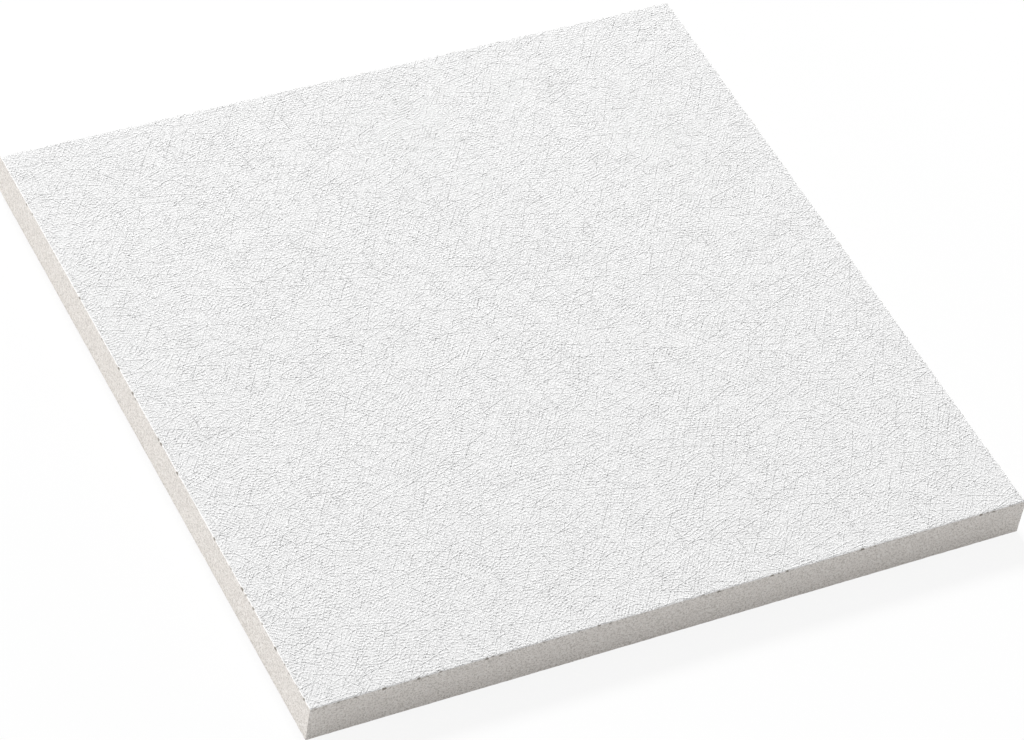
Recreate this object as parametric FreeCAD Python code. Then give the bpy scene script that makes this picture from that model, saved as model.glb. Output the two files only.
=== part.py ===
"""Mineral fiber ceiling tile: one square board of felted mineral fiber, sawn to size.

Millimetres, +Z up. The tile lies on its back with its exposed face up.
The origin is the middle of the back. X and Y run along the sawn edges.
"""

import FreeCAD, Part
import os

# Driving dimensions
TILE_SIDE = 300.0  # from sawn edge to sawn edge, the same both ways
BOARD_THICKNESS = 17.0  # from the back to the exposed face
FACE_ARRIS_RADIUS = 0.5  # the exposed face is eased over into the sawn edges
SAME_HEIGHT = 0.001  # two heights closer than this are the same


def square_board():
    """The blank as it leaves the saw: a square slab over the origin, its back at Z = 0."""
    low_corner = FreeCAD.Vector(-TILE_SIDE / 2, -TILE_SIDE / 2, 0)
    return Part.makeBox(TILE_SIDE, TILE_SIDE, BOARD_THICKNESS, low_corner)


def edges_at_height(shape, height):
    """The edges that lie level at one height."""
    return [
        edge
        for edge in shape.Edges
        if all(abs(vertex.Z - height) < SAME_HEIGHT for vertex in edge.Vertexes)
    ]


def ceiling_tile():
    """The board with the arris round its exposed face eased to a small radius."""
    board = square_board()
    face_edges = edges_at_height(board, BOARD_THICKNESS)
    return board.makeFillet(FACE_ARRIS_RADIUS, face_edges)


SUB_PARTS = {"ceiling_tile": ceiling_tile()}

os.makedirs("parts", exist_ok=True)
for name, shape in SUB_PARTS.items():
    shape.exportStep(f"parts/{name}.step")
    size = shape.BoundBox
    print(f"{name}: {size.XLength:.1f} x {size.YLength:.1f} x {size.ZLength:.1f} mm")
    print(f"{name}: {shape.Volume / 1000:.1f} cm3, closed and valid: {shape.isValid()}")
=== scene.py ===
# %% [markdown]
# # A mineral fiber ceiling tile
# A ceiling tile of this kind starts as a slurry of mineral fiber, clay and starch. It is felted
# on a moving wire, dried into a board, given a white face with a shallow relief of tangled
# fibers, and sawn square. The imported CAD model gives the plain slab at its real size. This
# lesson replaces it with one closed surface that carries the larger relief, and finishes that
# surface: a white face with fine fibers, bare greyish edges and a bare back.

# %% Load the frame
import math
import bpy
import numpy as np
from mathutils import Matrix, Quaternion, Vector


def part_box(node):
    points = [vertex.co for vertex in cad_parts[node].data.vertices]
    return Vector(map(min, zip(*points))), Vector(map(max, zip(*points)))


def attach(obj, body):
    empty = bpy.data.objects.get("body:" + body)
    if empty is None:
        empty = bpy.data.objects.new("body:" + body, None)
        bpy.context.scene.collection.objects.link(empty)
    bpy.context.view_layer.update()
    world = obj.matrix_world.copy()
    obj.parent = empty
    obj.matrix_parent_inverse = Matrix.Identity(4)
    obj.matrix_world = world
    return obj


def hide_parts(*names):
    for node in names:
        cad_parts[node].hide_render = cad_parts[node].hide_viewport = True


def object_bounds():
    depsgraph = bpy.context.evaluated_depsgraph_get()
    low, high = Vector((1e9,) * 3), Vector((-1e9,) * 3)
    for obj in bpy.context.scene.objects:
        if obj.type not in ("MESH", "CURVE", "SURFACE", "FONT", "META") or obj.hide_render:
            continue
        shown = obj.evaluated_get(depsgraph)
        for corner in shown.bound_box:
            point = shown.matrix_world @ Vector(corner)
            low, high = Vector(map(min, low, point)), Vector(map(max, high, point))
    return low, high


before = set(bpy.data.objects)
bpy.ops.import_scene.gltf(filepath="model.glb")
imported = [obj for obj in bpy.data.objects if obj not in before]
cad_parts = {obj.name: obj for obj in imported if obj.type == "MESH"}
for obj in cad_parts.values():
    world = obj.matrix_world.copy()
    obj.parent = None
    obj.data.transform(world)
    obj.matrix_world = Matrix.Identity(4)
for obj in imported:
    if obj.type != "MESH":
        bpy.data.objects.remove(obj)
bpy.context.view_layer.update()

tile_low, tile_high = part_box("ceiling_tile")
print("slab from", tuple(tile_low), "to", tuple(tile_high))

# %% [markdown]
# ## Sizes
# The tile is a plain square slab, and saws leave its edges sharp apart from a slight rounding
# where brittle board wears. Its sizes could be typed in again here, but the slab's own box
# gives them, so that the two can't disagree. Blender counts in metres, and one name for a
# millimetre keeps the numbers readable. Every random draw is seeded, so each run makes the
# same tile.

# %% Sizes
MM = 0.001
HALF_SIDE = (tile_high.x - tile_low.x) / 2
TOP = tile_high.z
ARRIS = 0.5 * MM  # radius of the eased edge round the face
print(f"side {2 * HALF_SIDE / MM:.1f} mm, thickness {TOP / MM:.1f} mm")

# %% [markdown]
# ## Grid lines
# The face is nearly flat, and turns down a quarter of a circle at its worn arris. It could be
# a subdivided cube with a bevel. Here it is a height field instead, a height worked out for
# each crossing of two sets of lines, because arrays can then shape all of it at once. The
# lines are evenly spaced over the flat of the face and bunch up over the arris.

# %% Grid lines
FACE_CELLS = 288
ARRIS_STEPS = 3


def grid_lines(low, high):
    """Line positions from one side to the other, and how far the arris has dropped at each.

    Over the arris, at angle t from straight up, position = end of the flat + r sin t and
    drop = r (1 - cos t).
    """
    turn = np.linspace(0, math.pi / 2, ARRIS_STEPS + 1)[1:]
    out, down = ARRIS * np.sin(turn), ARRIS * (1 - np.cos(turn))
    flat = np.linspace(low + ARRIS, high - ARRIS, FACE_CELLS + 1)
    places = np.concatenate([flat[0] - out[::-1], flat, flat[-1] + out])
    drops = np.concatenate([down[::-1], np.zeros(flat.size), down])
    return places, drops


line_x, drop_x = grid_lines(tile_low.x, tile_high.x)
line_y, drop_y = grid_lines(tile_low.y, tile_high.y)
lines = line_x.size
last = lines - 1
cell = 2 * (HALF_SIDE - ARRIS) / FACE_CELLS
print(lines, "lines each way, cells of", round(cell / MM, 3), "mm")

# %% [markdown]
# ## Soft random fields
# Felted board is never quite flat. Noise could be looked up point by point with mathutils,
# but a fast Fourier transform gives a whole field in a few lines, and with it a clear say in
# how long the waves are: white noise keeps only its waves of about the chosen lengths.

# %% Soft random fields
def soft_field(shape, steps, shortest, longest, seed):
    """Noise whose waves lie between two lengths, scaled to a standard deviation of 1.

    A wave of f turns per metre is kept by exp(-(shortest f)^2 / 2), which takes out the fine
    ones, times 1 - exp(-(longest f)^2 / 2), which takes out the broad ones.
    """
    white = np.random.default_rng(seed).standard_normal(shape)
    rows = np.fft.fftfreq(shape[0], steps[0])[:, None]
    columns = np.fft.fftfreq(shape[1], steps[1])[None, :]
    rate = np.hypot(rows, columns)
    keep = np.exp(-((shortest * rate) ** 2) / 2) * (1 - np.exp(-((longest * rate) ** 2) / 2))
    field = np.fft.ifft2(np.fft.fft2(white) * keep).real
    return field / field.std()


undulation = soft_field((lines, lines), (cell, cell), 2.0 * MM, 9 * MM, seed=11)
print("undulation from", undulation.min().round(2), "to", undulation.max().round(2))

# %% [markdown]
# ## Long fibers
# The longest fibers of the face show as low, slightly bent ridges that lie over each other.
# They could be curves with a round section, but thousands of separate tubes would not make
# one closed skin, so they are lifted out of the height field. Each is an arc with a random
# middle, direction, length and bend. Points along all the arcs are worked out at once, and
# each point lifts the few grid crossings round it.

# %% Long fibers
FIBER_COUNT = 5200
FIBER_LENGTHS = (7 * MM, 22 * MM)
MOST_BEND = 28.0  # radians of turn for each metre of fiber
BELL_WIDTH = 0.55 * MM
POINTS_PER_FIBER = 48
REACH = 2  # cells on each side of a point that it can lift
UNDULATION_HEIGHT = 0.006 * MM
RIDGE_HEIGHT = 0.03 * MM


def fiber_points(seed):
    """Points along every fiber: x, y and lift, each an array of fibers by points.

    At s from its middle, a fiber that starts out in direction a and turns by k radians a
    metre is at x + s cos a - (k s^2 / 2) sin a, y + s sin a + (k s^2 / 2) cos a.
    """
    draw = np.random.default_rng(seed)
    middle_x = draw.uniform(tile_low.x, tile_high.x, (FIBER_COUNT, 1))
    middle_y = draw.uniform(tile_low.y, tile_high.y, (FIBER_COUNT, 1))
    angle = draw.uniform(0, math.pi, (FIBER_COUNT, 1))
    length = draw.uniform(*FIBER_LENGTHS, (FIBER_COUNT, 1))
    bend = draw.uniform(-MOST_BEND, MOST_BEND, (FIBER_COUNT, 1))
    lift = draw.uniform(0.35, 1.0, (FIBER_COUNT, 1))
    part = np.linspace(-1, 1, POINTS_PER_FIBER)
    s = part * length / 2
    sag = bend * s**2 / 2
    x = middle_x + s * np.cos(angle) - sag * np.sin(angle)
    y = middle_y + s * np.sin(angle) + sag * np.cos(angle)
    return x, y, lift * (1 - part**4)


def fiber_ridges(seed):
    """Height of the fibers at each grid crossing: the highest bell of any point near it.

    A point with lift h at a distance d gives a bell h exp(-d^2 / (2 w^2)).
    """
    x, y, lift = (values.ravel() for values in fiber_points(seed))
    row = np.searchsorted(line_y, y)
    column = np.searchsorted(line_x, x)
    ridges = np.zeros((lines, lines))
    for step_row in range(-REACH, REACH + 1):
        for step_column in range(-REACH, REACH + 1):
            r = np.clip(row + step_row, 0, last)
            c = np.clip(column + step_column, 0, last)
            away = (line_x[c] - x) ** 2 + (line_y[r] - y) ** 2
            np.maximum.at(ridges, (r, c), lift * np.exp(-away / (2 * BELL_WIDTH**2)))
    return ridges


relief = UNDULATION_HEIGHT * undulation + RIDGE_HEIGHT * fiber_ridges(seed=5)
relief -= relief.max()
print("relief from", (relief.min() / MM).round(3), "mm, mean", (relief.mean() / MM).round(3))

# %% [markdown]
# ## Sawn edges
# A saw leaves the cut edges nearly plane. They wander by about a tenth of a millimetre, and
# the brittle arris is crumbled inwards here and there. A Displace modifier could do that, but
# it would also push points out past the slab. So each of the four edges has its own random
# field, run along the edge and down its height, that only ever takes material away.

# %% Sawn edges
WALL_HEIGHTS = np.array([15.7, 13.4, 9.6, 5.6, 1.8, 0.0]) * MM
CUT_WANDER = 0.05 * MM
CRUMBLE = 0.22 * MM
CRUMBLE_PAST = 0.9  # how high the field of crumbs must be for the arris to crumble
ROW_STEP = 3 * MM  # about the distance between two rows of an edge
EASING = 3 * MM  # the face's lines are drawn inwards with the edge, over this distance


def cut_inset(seed):
    """How far an edge lies inside its plane, as an array of rows downwards by lines along.

    Row 0 is the foot of the arris. The wander is a field lifted clear of zero, and crumbling
    is what is left of another field above a height, mostly on row 0.
    """
    rows = WALL_HEIGHTS.size + 1
    wander = soft_field((rows, lines), (ROW_STEP, cell), 6 * MM, 80 * MM, seed)
    crumb = soft_field((1, lines), (ROW_STEP, cell), 1.2 * MM, 12 * MM, seed + 100)[0]
    fade = np.zeros((rows, 1))
    fade[:2, 0] = (1.0, 0.3)
    wandered = CUT_WANDER * np.clip(wander + 2.5, 0, None) / 2
    return wandered + fade * CRUMBLE * np.clip(crumb - CRUMBLE_PAST, 0, 1.6)


inset_front, inset_right, inset_rear, inset_left = (cut_inset(seed) for seed in (21, 22, 23, 24))
print("deepest crumble", (inset_front.max() / MM).round(2), "mm")


def place(row, i, j):
    """x and y of the crossing of line i along X and line j along Y, on one row downwards.

    Each edge draws the lines near it inwards by its inset, times 1 at the edge, falling
    evenly to 0 where the distance from the edge is the easing.
    """
    near_left = np.clip(1 - (line_x[i] - tile_low.x) / EASING, 0, 1)
    near_right = np.clip(1 - (tile_high.x - line_x[i]) / EASING, 0, 1)
    near_front = np.clip(1 - (line_y[j] - tile_low.y) / EASING, 0, 1)
    near_rear = np.clip(1 - (tile_high.y - line_y[j]) / EASING, 0, 1)
    x = line_x[i] + near_left * inset_left[row, j] - near_right * inset_right[row, j]
    y = line_y[j] + near_front * inset_front[row, i] - near_rear * inset_rear[row, i]
    return x, y


# %% [markdown]
# ## The points of one closed surface
# The tile is one board, so it is one closed skin. Face, edges and back could be three sheets
# merged by distance, but it is surer that they share the points where they meet from the
# start. The back is plain, so its cells are six times as wide as the face's.

# %% Points
BACK_STRIDE = 6
BACK_STEP = 6 * MM  # about the distance between two lines of the back
BACK_HOLLOW = 0.06 * MM


def stacked(x, y, z):
    """Three arrays as one list of points."""
    return np.stack(np.broadcast_arrays(x, y, z), axis=-1).reshape(-1, 3)


column, row = np.meshgrid(np.arange(lines), np.arange(lines))
face_x, face_y = place(0, column, row)
face_z = TOP - np.maximum(drop_x[column], drop_y[row]) + relief
count = np.arange(last)
rim_i = np.concatenate([count, np.full(last, last), last - count, np.zeros(last, int)])
rim_j = np.concatenate([np.zeros(last, int), count, np.full(last, last), last - count])
wall_row = np.arange(1, WALL_HEIGHTS.size + 1)[:, None]
wall_x, wall_y = place(wall_row, rim_i[None, :], rim_j[None, :])
back_lines = np.arange(BACK_STRIDE, last, BACK_STRIDE)
back_i, back_j = np.meshgrid(back_lines, back_lines)
hollow = soft_field(back_i.shape, (BACK_STEP, BACK_STEP), 6 * MM, 60 * MM, seed=31)
points = np.concatenate([
    stacked(face_x, face_y, face_z),
    stacked(wall_x, wall_y, WALL_HEIGHTS[:, None]),
    stacked(line_x[back_i], line_y[back_j], BACK_HOLLOW * np.clip(hollow + 1, 0, 3)),
])
print(len(points), "points")

# %% [markdown]
# ## The faces between them
# A face is a row of point numbers, anticlockwise as seen from outside, so that its normal
# points outwards. Four shifted copies of a table of numbers give all the quads of a sheet at
# once. Where the wide cells of the back meet the finer rim, fans of triangles join them, which
# costs far fewer faces than carrying the fine grid on across the back.

# %% Faces
rim_count = rim_i.size
wall_first = lines * lines
back_first = wall_first + WALL_HEIGHTS.size * rim_count
back_side = back_lines.size


def quads(corner_a, corner_b, corner_c, corner_d):
    """Four arrays of point numbers as a list of four-cornered faces."""
    return np.stack([corner_a, corner_b, corner_c, corner_d], axis=-1).reshape(-1, 4)


face_number = np.arange(lines * lines).reshape(lines, lines)
face_quads = quads(face_number[:-1, :-1], face_number[:-1, 1:], face_number[1:, 1:], face_number[1:, :-1])
rim_number = face_number[rim_j, rim_i]
wall_number = wall_first + np.arange(WALL_HEIGHTS.size * rim_count).reshape(-1, rim_count)
rings = np.concatenate([rim_number[None, :], wall_number])
beside = np.roll(rings, -1, axis=1)
wall_quads = quads(rings[:-1], rings[1:], beside[1:], beside[:-1])
back_number = back_first + np.arange(back_side**2).reshape(back_side, back_side)
back_quads = quads(back_number[:-1, :-1], back_number[1:, :-1], back_number[1:, 1:], back_number[:-1, 1:])


def fan(rim_points, back_points):
    """Triangles that join one side of the rim to the row of wider back points beside it.

    Each stretch of rim goes to the nearest back point, and where that changes, a triangle
    joins the two back points to the rim point between them.
    """
    stretch = np.arange(last)
    nearest = np.clip((stretch + BACK_STRIDE // 2) // BACK_STRIDE, 1, back_side) - 1
    fans = np.stack([rim_points[1:], rim_points[:-1], back_points[nearest]], axis=-1)
    change = np.flatnonzero(np.diff(nearest)) + 1
    joints = np.stack(
        [back_points[nearest[change] - 1], back_points[nearest[change]], rim_points[change]], axis=-1
    )
    return np.concatenate([fans, joints])


foot = np.append(wall_number[-1], wall_number[-1][0])
back_rows = (back_number[0], back_number[:, -1], back_number[-1, ::-1], back_number[::-1, 0])
triangles = np.concatenate([
    fan(foot[side * last : (side + 1) * last + 1], back_row) for side, back_row in enumerate(back_rows)
])
all_quads = np.concatenate([face_quads, wall_quads, back_quads])
print(2 * len(all_quads) + len(triangles), "triangles once the quads are halved")

# %% [markdown]
# ## Into a mesh
# Blender takes a mesh as flat lists: the points, the corners of all faces in a row, and where
# each face starts. They could be built face by face with bmesh, but foreach_set fills them
# from the arrays much faster. Folds past an angle stay crisp, and the rest is shaded smooth.

# %% Into a mesh
SHARP = math.radians(40)  # a fold past this is a hard edge, such as the tile's corners


def make_mesh(name, points, quads, triangles):
    """A mesh object from arrays of points, four-cornered faces and triangles."""
    mesh = bpy.data.meshes.new(name)
    corners = np.concatenate([quads.ravel(), triangles.ravel()]).astype(np.int32)
    sizes = np.concatenate([np.full(len(quads), 4), np.full(len(triangles), 3)])
    starts = np.concatenate([[0], np.cumsum(sizes)[:-1]]).astype(np.int32)
    mesh.vertices.add(len(points))
    mesh.vertices.foreach_set("co", points.astype(np.float32).ravel())
    mesh.loops.add(len(corners))
    mesh.loops.foreach_set("vertex_index", corners)
    mesh.polygons.add(len(sizes))
    mesh.polygons.foreach_set("loop_start", starts)
    mesh.update(calc_edges=True)
    mesh.validate()
    mesh.shade_smooth()
    mesh.set_sharp_from_angle(angle=SHARP)
    piece = bpy.data.objects.new(name, mesh)
    bpy.context.scene.collection.objects.link(piece)
    return piece


tile = make_mesh("ceiling_tile_board", points, all_quads, triangles)
print(tile.name, "has", len(tile.data.polygons), "faces")

# %% [markdown]
# ## Arithmetic on sockets
# A pattern in a material is a formula. It could be wired up node by node, but the formula is
# then hard to see. Wrapping a node's output in a small class lets it be written as Python
# arithmetic: each operator adds the Math node that does it. All other nodes come from one
# method, which takes the node's type, its settings and its inputs.

# %% Arithmetic on sockets
class Value:
    """A node's output that Python arithmetic can be done on. Each operation adds a Math node."""

    def __init__(self, socket):
        self.socket = socket

    def node(self, kind, settings=None, inputs=None):
        """Adds a node beside this one. Returns its first output, if it has one."""
        made = self.socket.id_data.nodes.new(kind)
        for setting, choice in (settings or {}).items():
            setattr(made, setting, choice)
        for name, given in (inputs or {}).items():
            if isinstance(given, Value):
                made.id_data.links.new(given.socket, made.inputs[name])
            else:
                made.inputs[name].default_value = given
        return Value(made.outputs[0]) if made.outputs else None

    def out(self, name):
        """Another output of the same node."""
        return Value(self.socket.node.outputs[name])

    def math(self, operation, first, second=0.0):
        """A Math node on two values, each a Value or a number."""
        return self.node("ShaderNodeMath", {"operation": operation}, {0: first, 1: second})

    def __add__(self, other):
        return self.math("ADD", self, other)

    def __sub__(self, other):
        return self.math("SUBTRACT", self, other)

    def __rsub__(self, other):
        return self.math("SUBTRACT", other, self)

    def __mul__(self, other):
        return self.math("MULTIPLY", self, other)

    def __pow__(self, other):
        return self.math("POWER", self, other)

    def __abs__(self):
        return self.math("ABSOLUTE", self)

    __radd__ = __add__
    __rmul__ = __mul__

    def above_zero(self):
        """This where it is above 0, and 0 elsewhere."""
        return self.math("MAXIMUM", self, 0.0)

    def larger(self, other):
        """The larger of two values."""
        return self.math("MAXIMUM", self, other)

    def step(self, low, high):
        """0 below low and 1 above high, with a smooth rise between."""
        settings = {"interpolation_type": "SMOOTHSTEP"}
        return self.node("ShaderNodeMapRange", settings, {0: self, 1: low, 2: high})

    def mix(self, colour_a, colour_b):
        """Colour a where this is 0 and colour b where it is 1."""
        made = self.node("ShaderNodeMix", {"data_type": "RGBA"}, {0: self, 6: colour_a, 7: colour_b})
        return Value(made.socket.node.outputs[2])

    def moved(self, offset):
        """This vector with another vector, or a row of three numbers, added to it."""
        return self.node("ShaderNodeVectorMath", {"operation": "ADD"}, {0: self, 1: offset})

    def noise(self, size, detail, shift):
        """Soft noise from 0 to 1 with blotches of about a size, in three dimensions."""
        inputs = {"Vector": self.moved((shift,) * 3), "Scale": 1 / size, "Detail": detail}
        return self.node("ShaderNodeTexNoise", {}, inputs)


def new_material(name):
    """An empty node material, and its Object coordinates as a Value to hang nodes on."""
    material = bpy.data.materials.new(name)
    material.use_nodes = True
    material.node_tree.nodes.clear()
    return material, Value(material.node_tree.nodes.new("ShaderNodeTexCoord").outputs["Object"])


# %% [markdown]
# ## Bundles of fine fibers
# Most of the face is a mat of fine fibers, which lie side by side in small bundles. They are
# far too many for the mesh, so they are a bump in the material. Stretched noise could give
# streaks one way, but Gabor noise is made of short packets of waves, each in its own
# direction, so its crests look like bundles that cross. Two of them with different distances
# between the crests are added. The wet mat is drawn along by its wire, so a few more fibers
# lie near one direction.

# %% Bundles of fine fibers
BUNDLE_FIBERS = 12  # crests from one side of a packet to the other
BUNDLES = ((1.5, 0.36), (1.2, 0.43))  # distance between crests and height, in mm
DRAWN_OUT = 0.1  # 0 for fibers in every direction alike, 1 for all of them the same way
DRAWN_TURN = math.radians(72)  # from X to the direction across the favoured fibers


def fine_bundles(spot):
    """Height in mm of the fine fibers at a place in mm: the sum of the noises, each about 0."""
    total = 0.0
    for number, (distance, height) in enumerate(BUNDLES):
        inputs = {
            "Vector": spot.moved((10.0 + 40.0 * number, -17.0 - 68.0 * number, 0.0)),
            "Scale": 1 / (distance * BUNDLE_FIBERS),
            "Frequency": BUNDLE_FIBERS,
            "Anisotropy": DRAWN_OUT,
            "Orientation": DRAWN_TURN,
        }
        waves = spot.node("ShaderNodeTexGabor", {"gabor_type": "2D"}, inputs)
        total = (waves - 0.5) * height + total
    return total


print(len(BUNDLES), "layers of fine fibers, finest", min(BUNDLES)[0], "mm apart")

# %% [markdown]
# ## Single fibers
# Over the mat lie single fibers, longer and more distinct. They could be painted into an
# image, but a formula stays sharp from close by. Each layer of them is a Voronoi texture that
# is stretched along one direction, with one fiber in each cell: its distance from the cell's
# point, along and across, gives a ridge with tapered ends. The cell's random colour turns and
# bends it and sets its height. Several layers cross each other, each with its own direction.
# Each layer takes its place from the one before it, moved by next to nothing, so that Cycles
# works the layers out one at a time and doesn't need room for all at once.

# %% Single fibers
HALF_WIDTH = 0.32  # of a single fiber, in mm, as are the lengths, spacings and heights below
LONG_FIBERS = {"layers": 5, "first_turn": 0.35, "length": 18.0, "spacing": 4.0, "height": 0.29}
SHORT_FIBERS = {"layers": 4, "first_turn": 0.1, "length": 8.0, "spacing": 1.7, "height": 0.22}
MOST_LEAN = 0.45  # in spacings across for each length along
MOST_CURL = 0.15
TAPER = 1.5
LOWEST = 0.2  # the height of the lowest fiber, as a part of the highest
CHAIN = 0.01  # how far a layer is moved for each mm of height below it


def fiber_layer(spot, below, turn, length, spacing, shift):
    """Ridges from 0 to 1, one in each stretched cell.

    With u along and v across the cell, each 0 at the cell's point, random lean p and curl q,
    half width w and taper t, the ridge is (1 - ((v + p u + q u^2) / w)^2)^2 times
    1 - (t u)^2, where both are above 0.
    """
    start = below * CHAIN + shift
    stretch = {0: spot, 1: start, 2: (0, 0, turn), 3: (length, spacing, 1)}
    local = spot.node("ShaderNodeMapping", {"vector_type": "TEXTURE"}, stretch)
    tiling = {"Vector": local, "Scale": 1.0}
    cells = spot.node("ShaderNodeTexVoronoi", {"voronoi_dimensions": "2D"}, tiling)
    places = {0: local, 1: cells.out("Position")}
    offset = local.node("ShaderNodeVectorMath", {"operation": "SUBTRACT"}, places)
    parts = offset.node("ShaderNodeSeparateXYZ", {}, {0: offset})
    draw = cells.node("ShaderNodeSeparateColor", {}, {0: cells.out("Color")})
    along = parts.out("X")
    lean = (draw.out("Red") - 0.5) * (2 * MOST_LEAN)
    curl = (draw.out("Blue") - 0.5) * (2 * MOST_CURL)
    middle = parts.out("Y") + (lean + curl * along) * along
    ridge = (1 - (middle * (spacing / HALF_WIDTH)) ** 2).above_zero()
    tips = (1 - (along * TAPER) ** 2).above_zero()
    return ridge * ridge * tips * (draw.out("Green") * (1 - LOWEST) + LOWEST)


def single_fibers(spot, total, layers, first_turn, length, spacing, height):
    """The height so far, in mm, with some layers of fibers added to it."""
    for number in range(layers):
        turn = first_turn + math.pi * number / layers
        shift = 13.7 * number + 3.1 * length
        total = fiber_layer(spot, total, turn, length, spacing, shift) * height + total
    return total


layers_made = LONG_FIBERS["layers"] + SHORT_FIBERS["layers"]
print(layers_made, "layers of single fibers,", 2 * HALF_WIDTH, "mm wide")


# %% [markdown]
# ## White face and bare board
# The tile is one board with a white face. Two material slots would cut the finishes apart
# along the mesh's own lines, and the white's real end is ragged, so one material mixes two
# finishes, and Cycles works out only the one it needs at each place. The white face carries
# the fibers, with painted shade in their hollows, a painted highlight on their crests and a
# painted highlight along its outermost strip. The bare board is a warm grey felt with darker
# and paler grains, and with dark specks and dark chips at the arris, painted as the shade in
# small pits and chips. The grains are narrower one way than the other, so the grain is
# quieter on the left and right edges than on the front and rear ones.

# %% White face and bare board
# The face's white runs from painted shade in the fiber hollows to a painted highlight on their crests.
HOLLOW_WHITE_PAINTED_SHADE = (0.79, 0.79, 0.79, 1)
CREST_WHITE_PAINTED_HIGHLIGHT = (0.93, 0.93, 0.93, 1)
# A painted highlight along the outermost strip of the face.
RIM_PAINTED_HIGHLIGHT = (0.92, 0.92, 0.915, 1)
BOARD_GREY = (0.82, 0.782, 0.745, 1)
BOARD_DARK = (0.53, 0.5, 0.465, 1)
BOARD_PALE = (0.9, 0.88, 0.85, 1)
# Painted shade in the chips of the arris.
CHIP_PAINTED_SHADE = (0.22, 0.20, 0.17, 1)
# The crests get their full painted highlight at this height of the bump.
CREST_HEIGHT = 0.36  # in mm, the height of the bump where the face is whitest
GRAIN_SIZE = 0.68  # in mm, as are the other sizes and the relief
GRAIN_SHAPE = (1.0, 2.2, 1.0)  # the grains are this much narrower along Y
GRAIN_RELIEF = 0.25
PALE_SIZE = 1.5
# Dark specks, painted as the shade in small pits of the sawn surface.
PIT_SPECKS = {"distance": 1.5, "radius": 0.44, "shift": 5.0}


def finish_shader(colour, roughness, height):
    """A rough Principled shader with a colour and with a height in mm as its relief."""
    bump = colour.node("ShaderNodeBump", {}, {"Height": height, "Distance": MM, "Strength": 1.0})
    inputs = {"Base Color": colour, "Roughness": roughness, "Specular IOR Level": 0.3, "Normal": bump}
    return colour.node("ShaderNodeBsdfPrincipled", {}, inputs)


def white_face(spot, rim):
    """The face's shader. Rim is 1 on the outermost strip, which the felting left smooth and which is
    painted lighter there as a painted highlight along the edge.
    """
    relief = single_fibers(spot, fine_bundles(spot), **LONG_FIBERS)
    relief = single_fibers(spot, relief, **SHORT_FIBERS) * (1 - rim)
    # Painted shade in the hollows, a painted highlight on the crests and along the rim.
    crests = relief.step(0.0, CREST_HEIGHT)
    colour = rim.mix(crests.mix(HOLLOW_WHITE_PAINTED_SHADE, CREST_WHITE_PAINTED_HIGHLIGHT), RIM_PAINTED_HIGHLIGHT)
    return finish_shader(colour, 0.88 - crests * 0.06, relief)


def specks(spot, distance, radius, shift):
    """1 inside small balls scattered about a distance apart, in mm, and 0 outside them.

    The surface cuts through the balls, so that the specks seen on it differ in size.
    """
    inputs = {"Vector": spot.moved((shift,) * 3), "Scale": 1 / distance}
    cells = spot.node("ShaderNodeTexVoronoi", {}, inputs)
    return 1 - (cells * distance).step(0.6 * radius, radius)


def bare_board(spot, chips):
    """The cut edges' and the back's shader. Chips is 1 where the arris is chipped, and is painted dark
    there as the shade in the chip. Dark specks are painted as the shade in small pits.
    """
    pressed = spot.node("ShaderNodeVectorMath", {"operation": "MULTIPLY"}, {0: spot, 1: GRAIN_SHAPE})
    grain = pressed.noise(GRAIN_SIZE, detail=2.0, shift=11.0)
    # Painted shade: small pits of the sawn surface shown as dark specks.
    pit_painted_shade = specks(spot, **PIT_SPECKS)
    pale = spot.noise(PALE_SIZE, detail=1.0, shift=9.0).step(0.5, 0.7)
    colour = grain.step(0.3, 0.6).mix(BOARD_DARK, BOARD_GREY)
    colour = (pale * 0.5).mix(colour, BOARD_PALE)
    colour = (pit_painted_shade * 0.8).mix(colour, BOARD_DARK)
    # Chips painted dark: painted shade in their hollows.
    colour = (chips * 0.9).mix(colour, CHIP_PAINTED_SHADE)
    return finish_shader(colour, grain * 0.06 + 0.92, grain * GRAIN_RELIEF)


print("white from", HOLLOW_WHITE_PAINTED_SHADE[0], "to", CREST_WHITE_PAINTED_HIGHLIGHT[0])

# %% [markdown]
# ## Where the white ends
# The white wraps half round the worn arris and ends along a slightly ragged line. It could be
# painted by hand as an attribute of the mesh, but the place alone says it more finely: a
# place's distance in from the edge less its height below the top tells how far round the
# arris it is. Here and there the saw has chipped the arris: the white is gone there, and the
# chip is painted dark, as painted shade in its hollow.

# %% Where the white ends
WHITE_WRAP = 0.12  # how much further than halfway round the arris the white goes, in mm
RAGGED = 0.16
RAGGED_SIZE = 1.6
CHIPS = {"distance": 3.3, "radius": 1.15, "shift": 23.0}


def board_material():
    """The material for the whole tile."""
    material, metres = new_material("felted_board")
    spot = metres.node("ShaderNodeVectorMath", {"operation": "SCALE"}, {0: metres, "Scale": 1 / MM})
    parts = spot.node("ShaderNodeSeparateXYZ", {}, {0: spot})
    inside = HALF_SIDE / MM - abs(parts.out("X")).larger(abs(parts.out("Y")))
    below = TOP / MM - parts.out("Z")
    ragged = (spot.noise(RAGGED_SIZE, detail=1.0, shift=3.0) - 0.5) * RAGGED
    white = (inside - below + WHITE_WRAP + ragged).step(0.05, 0.15)
    # The rim's lighter colour is a painted highlight along the edge, and the relief fades out there.
    rim = 1 - (inside + ragged).step(0.3, 0.7)
    arris = (1 - inside.step(0.3, 0.6)) * (1 - below.step(0.7, 1.0))
    chips = specks(spot, **CHIPS) * arris
    board = bare_board(spot, chips)
    face = white_face(spot, rim)
    mixed = spot.node("ShaderNodeMixShader", {}, {0: white * (1 - chips), 1: board, 2: face})
    spot.node("ShaderNodeOutputMaterial", {}, {"Surface": mixed})
    return material


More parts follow.
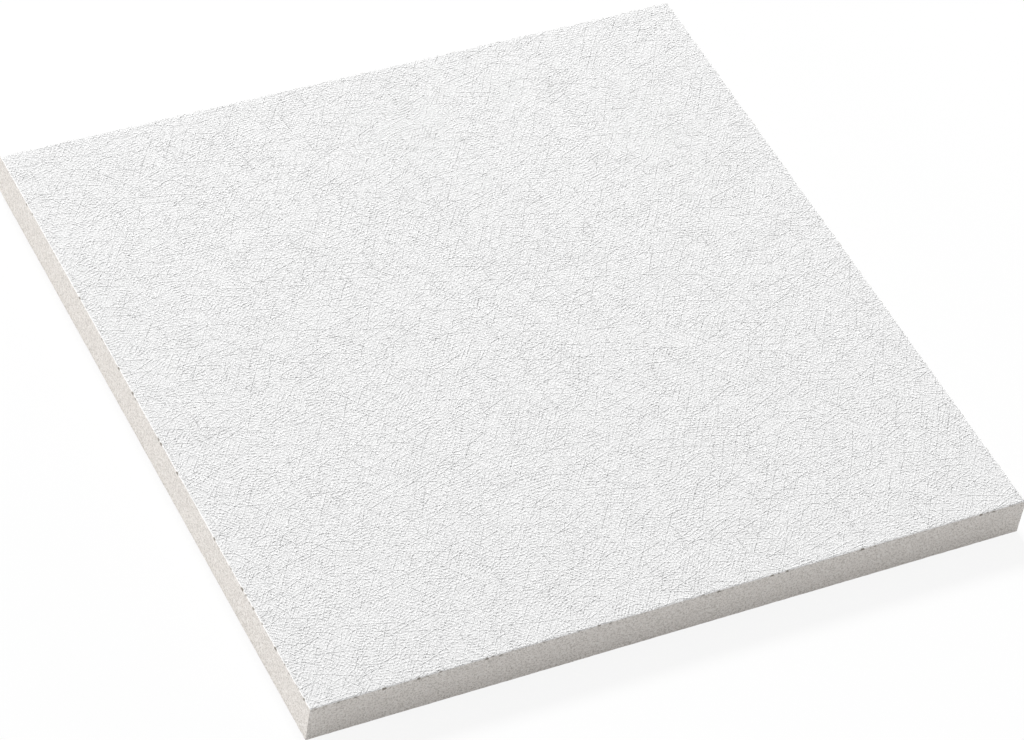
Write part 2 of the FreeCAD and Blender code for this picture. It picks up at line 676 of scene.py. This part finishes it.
tile.data.materials.append(board_material())
print(tile.data.materials[0].name, "has", len(tile.data.materials[0].node_tree.nodes), "nodes")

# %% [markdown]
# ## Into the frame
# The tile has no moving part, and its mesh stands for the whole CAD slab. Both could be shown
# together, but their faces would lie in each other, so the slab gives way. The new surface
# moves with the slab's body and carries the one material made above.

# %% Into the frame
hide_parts("ceiling_tile")
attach(tile, "root")
low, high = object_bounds()
print("tile from", tuple(low), "to", tuple(high))

# %% [markdown]
# ## Camera
# The tile is seen from above its front left corner. A camera could be aimed with a Track To
# constraint, but a rotation worked out once stays put and can carry a roll. It looks from far
# off through a long lens, which keeps the sides nearly parallel, and it is turned a little
# about its own line of sight, so that the tile lies askew.

# %% Camera
AZIMUTH, PITCH, ROLL = math.radians(-33.44), math.radians(45.34), math.radians(10.40)
AIM = Vector((-0.0075, -0.0226, TOP))
CAMERA_DISTANCE = 1.6867
LENS = 154.45  # in mm, on a sensor 36 mm wide


def direction(azimuth, elevation):
    """Towards a compass angle from the front and an angle above the floor, of length 1."""
    level = math.cos(elevation)
    return Vector((math.sin(azimuth) * level, -math.cos(azimuth) * level, math.sin(elevation)))


def place_towards(thing, towards, distance, target, roll=0.0):
    """Puts a camera or a lamp in a direction from a target, looking back at the target."""
    thing.rotation_mode = "QUATERNION"
    thing.location = target + distance * towards
    thing.rotation_quaternion = (-towards).to_track_quat("-Z", "Y") @ Quaternion((0, 0, 1), roll)
    bpy.context.scene.collection.objects.link(thing)


camera_data = bpy.data.cameras.new("camera")
camera_data.sensor_width = 36
camera_data.lens = LENS
camera_data.clip_end = 50
camera = bpy.data.objects.new("camera", camera_data)
place_towards(camera, direction(AZIMUTH, PITCH), CAMERA_DISTANCE, AIM, ROLL)
bpy.context.scene.camera = camera
print("camera at", tuple(round(value, 3) for value in camera.location))

# %% [markdown]
# ## Lamps
# The relief only shows where light comes from one side. A lamp straight above, or the room's
# light alone, would leave the face blank. A lamp behind the tile slants down over it, so that
# every fiber has a lit side and a shaded side, and leaves the front edge to the light of the
# room. Two weak low lamps light the left and right edges, and even each other out on the
# face. A disk lamp's energy is worked out from the level wanted at the tile.

# %% Lamps
# Angles in degrees, lengths in metres.
KEY = {"azimuth": 178, "elevation": 45, "distance": 5.0, "size": 1.25, "level": 0.83}
SIDES = {"elevation": 7, "distance": 5.0, "size": 1.5, "level": 0.36}
SIDE_AZIMUTH = 88


def area_lamp(name, azimuth, elevation, distance, size, level):
    """A disk lamp. A white surface that faces it is as bright as the level, where 1 is white."""
    data = bpy.data.lights.new(name, "AREA")
    data.shape = "DISK"
    data.size = size
    data.energy = level * (math.pi * distance) ** 2
    lamp = bpy.data.objects.new(name, data)
    lamp.visible_camera = False
    towards = direction(math.radians(azimuth), math.radians(elevation))
    place_towards(lamp, towards, distance, Vector((0, 0, 0)))
    return lamp


key = area_lamp("key", **KEY)
area_lamp("left", azimuth=-SIDE_AZIMUTH, **SIDES)
area_lamp("right", azimuth=SIDE_AZIMUTH, **SIDES)
print("key lamp of", round(key.data.energy), "watts")

# %% [markdown]
# ## Floor and surroundings
# The tile lies on a plain pale floor in a bright room. A floor and a world bright enough to
# look white would flood the tile with light, so each has two sides. To the camera the floor
# is nearly white and holds only a soft shadow, while to the light it is an ordinary pale
# floor. The world is a plain white to look at, and an even, dimmer light from all round.

# %% Floor and surroundings
FLOOR_REACH = 4.0
FLOOR_PALE = (0.88, 0.88, 0.88, 1)
WHITE = (1, 1, 1, 1)
FLOOR_GLOW = 0.86  # the part of the floor that the camera sees as plain white
ROOM_LEVEL = 0.465


def looked_at(start):
    """1 for a ray that looks, straight or through a reflection or glass, and 0 for light."""
    path = start.node("ShaderNodeLightPath")
    return path.larger(path.out("Is Glossy Ray")).larger(path.out("Is Transmission Ray"))


corners = [(x * FLOOR_REACH, y * FLOOR_REACH, 0) for x, y in ((-1, -1), (1, -1), (1, 1), (-1, 1))]
floor_mesh = bpy.data.meshes.new("floor")
floor_mesh.from_pydata(corners, [], [(0, 1, 2, 3)])
floor = bpy.data.objects.new("floor", floor_mesh)
bpy.context.scene.collection.objects.link(floor)
floor_material, floor_place = new_material("pale_floor")
matte = floor_place.node("ShaderNodeBsdfDiffuse", {}, {"Color": FLOOR_PALE})
glow = floor_place.node("ShaderNodeEmission", {}, {"Color": WHITE, "Strength": 1.0})
share = looked_at(floor_place) * FLOOR_GLOW
mixed = floor_place.node("ShaderNodeMixShader", {}, {0: share, 1: matte, 2: glow})
floor_place.node("ShaderNodeOutputMaterial", {}, {"Surface": mixed})
floor_mesh.materials.append(floor_material)

world = bpy.data.worlds.new("world")
bpy.context.scene.world = world
world.use_nodes = True
world.node_tree.nodes.clear()
start = Value(world.node_tree.nodes.new("ShaderNodeLightPath").outputs[0])
room = start.node("ShaderNodeBackground", {}, {"Color": WHITE, "Strength": ROOM_LEVEL})
plain = start.node("ShaderNodeBackground", {}, {"Color": WHITE, "Strength": 1.0})
mixed = start.node("ShaderNodeMixShader", {}, {0: looked_at(start), 1: room, 2: plain})
start.node("ShaderNodeOutputWorld", {}, {"Surface": mixed})
bpy.context.scene.view_settings.view_transform = "Standard"
print("floor", 2 * FLOOR_REACH, "m wide, room light", ROOM_LEVEL)
